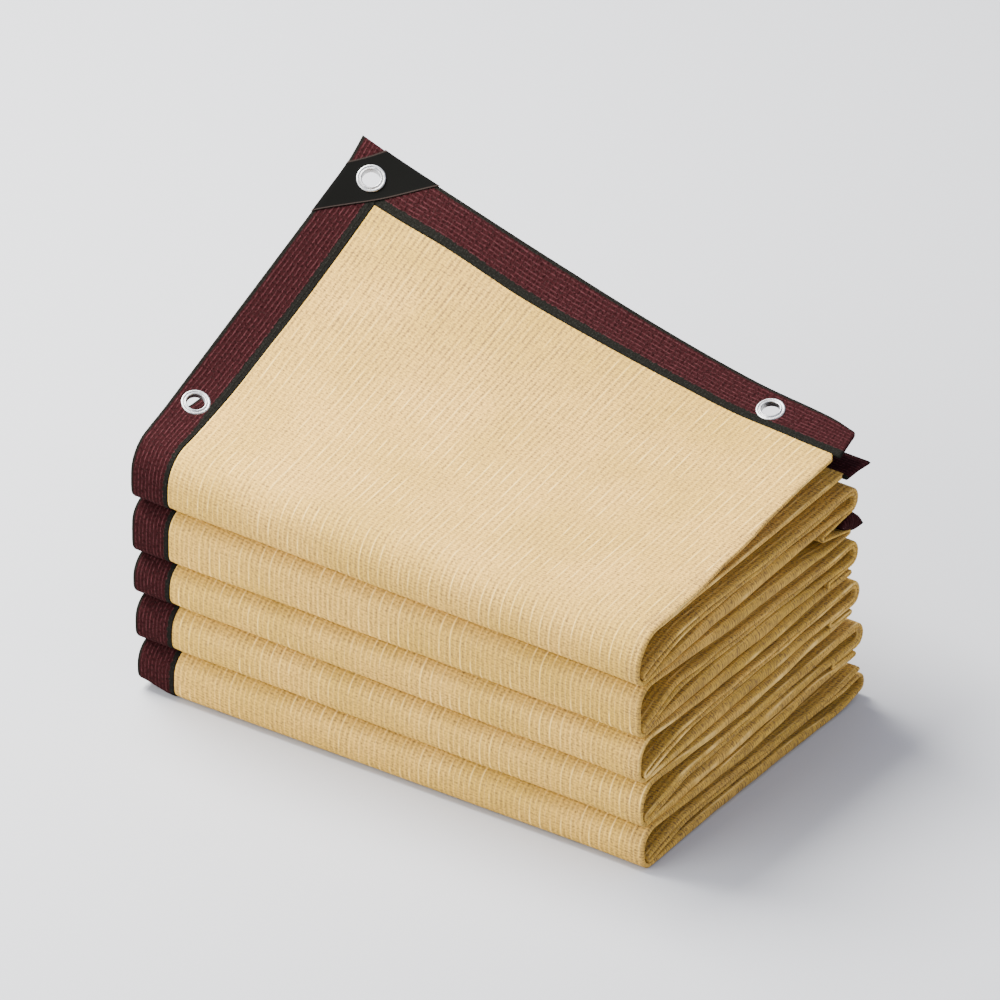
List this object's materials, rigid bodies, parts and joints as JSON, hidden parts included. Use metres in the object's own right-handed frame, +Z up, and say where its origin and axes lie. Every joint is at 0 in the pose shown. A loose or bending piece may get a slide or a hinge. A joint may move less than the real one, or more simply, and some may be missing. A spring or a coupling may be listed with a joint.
{
  "type": "folded mesh shade canopy",
  "caption": "Knitted mesh shade canopy with bound edges and metal eyelets, folded into a soft stack with its top ply lifted at one corner.",
  "frame": {"origin": "middle of the underside of the whole object's box, on the floor", "axes": "+X along the long front of the stack towards its cut end, +Y from the front folds to the back, +Z up"},
  "size_m": [0.518, 0.35, 0.3707],
  "materials": {
    "mesh_cloth": "knitted ribbed mesh, matt, light beige",
    "edge_tape": "ribbed woven binding, matt, dark red with black edges",
    "patch_sheet": "smooth black reinforcing sheet, sewn down",
    "eyelet_metal": "bright rolled metal ring"
  },
  "bodies": {
    "root": {"cloth": "mesh_cloth", "side_tape_folds": "edge_tape", "side_tape_flap": "edge_tape", "far_tape_flap": "edge_tape", "under_tape_upper": "edge_tape", "under_tape_lower": "edge_tape", "corner_patch": "patch_sheet", "eyelet_corner": "eyelet_metal", "eyelet_side": "eyelet_metal", "eyelet_far": "eyelet_metal"}
  },
  "joints": []
}
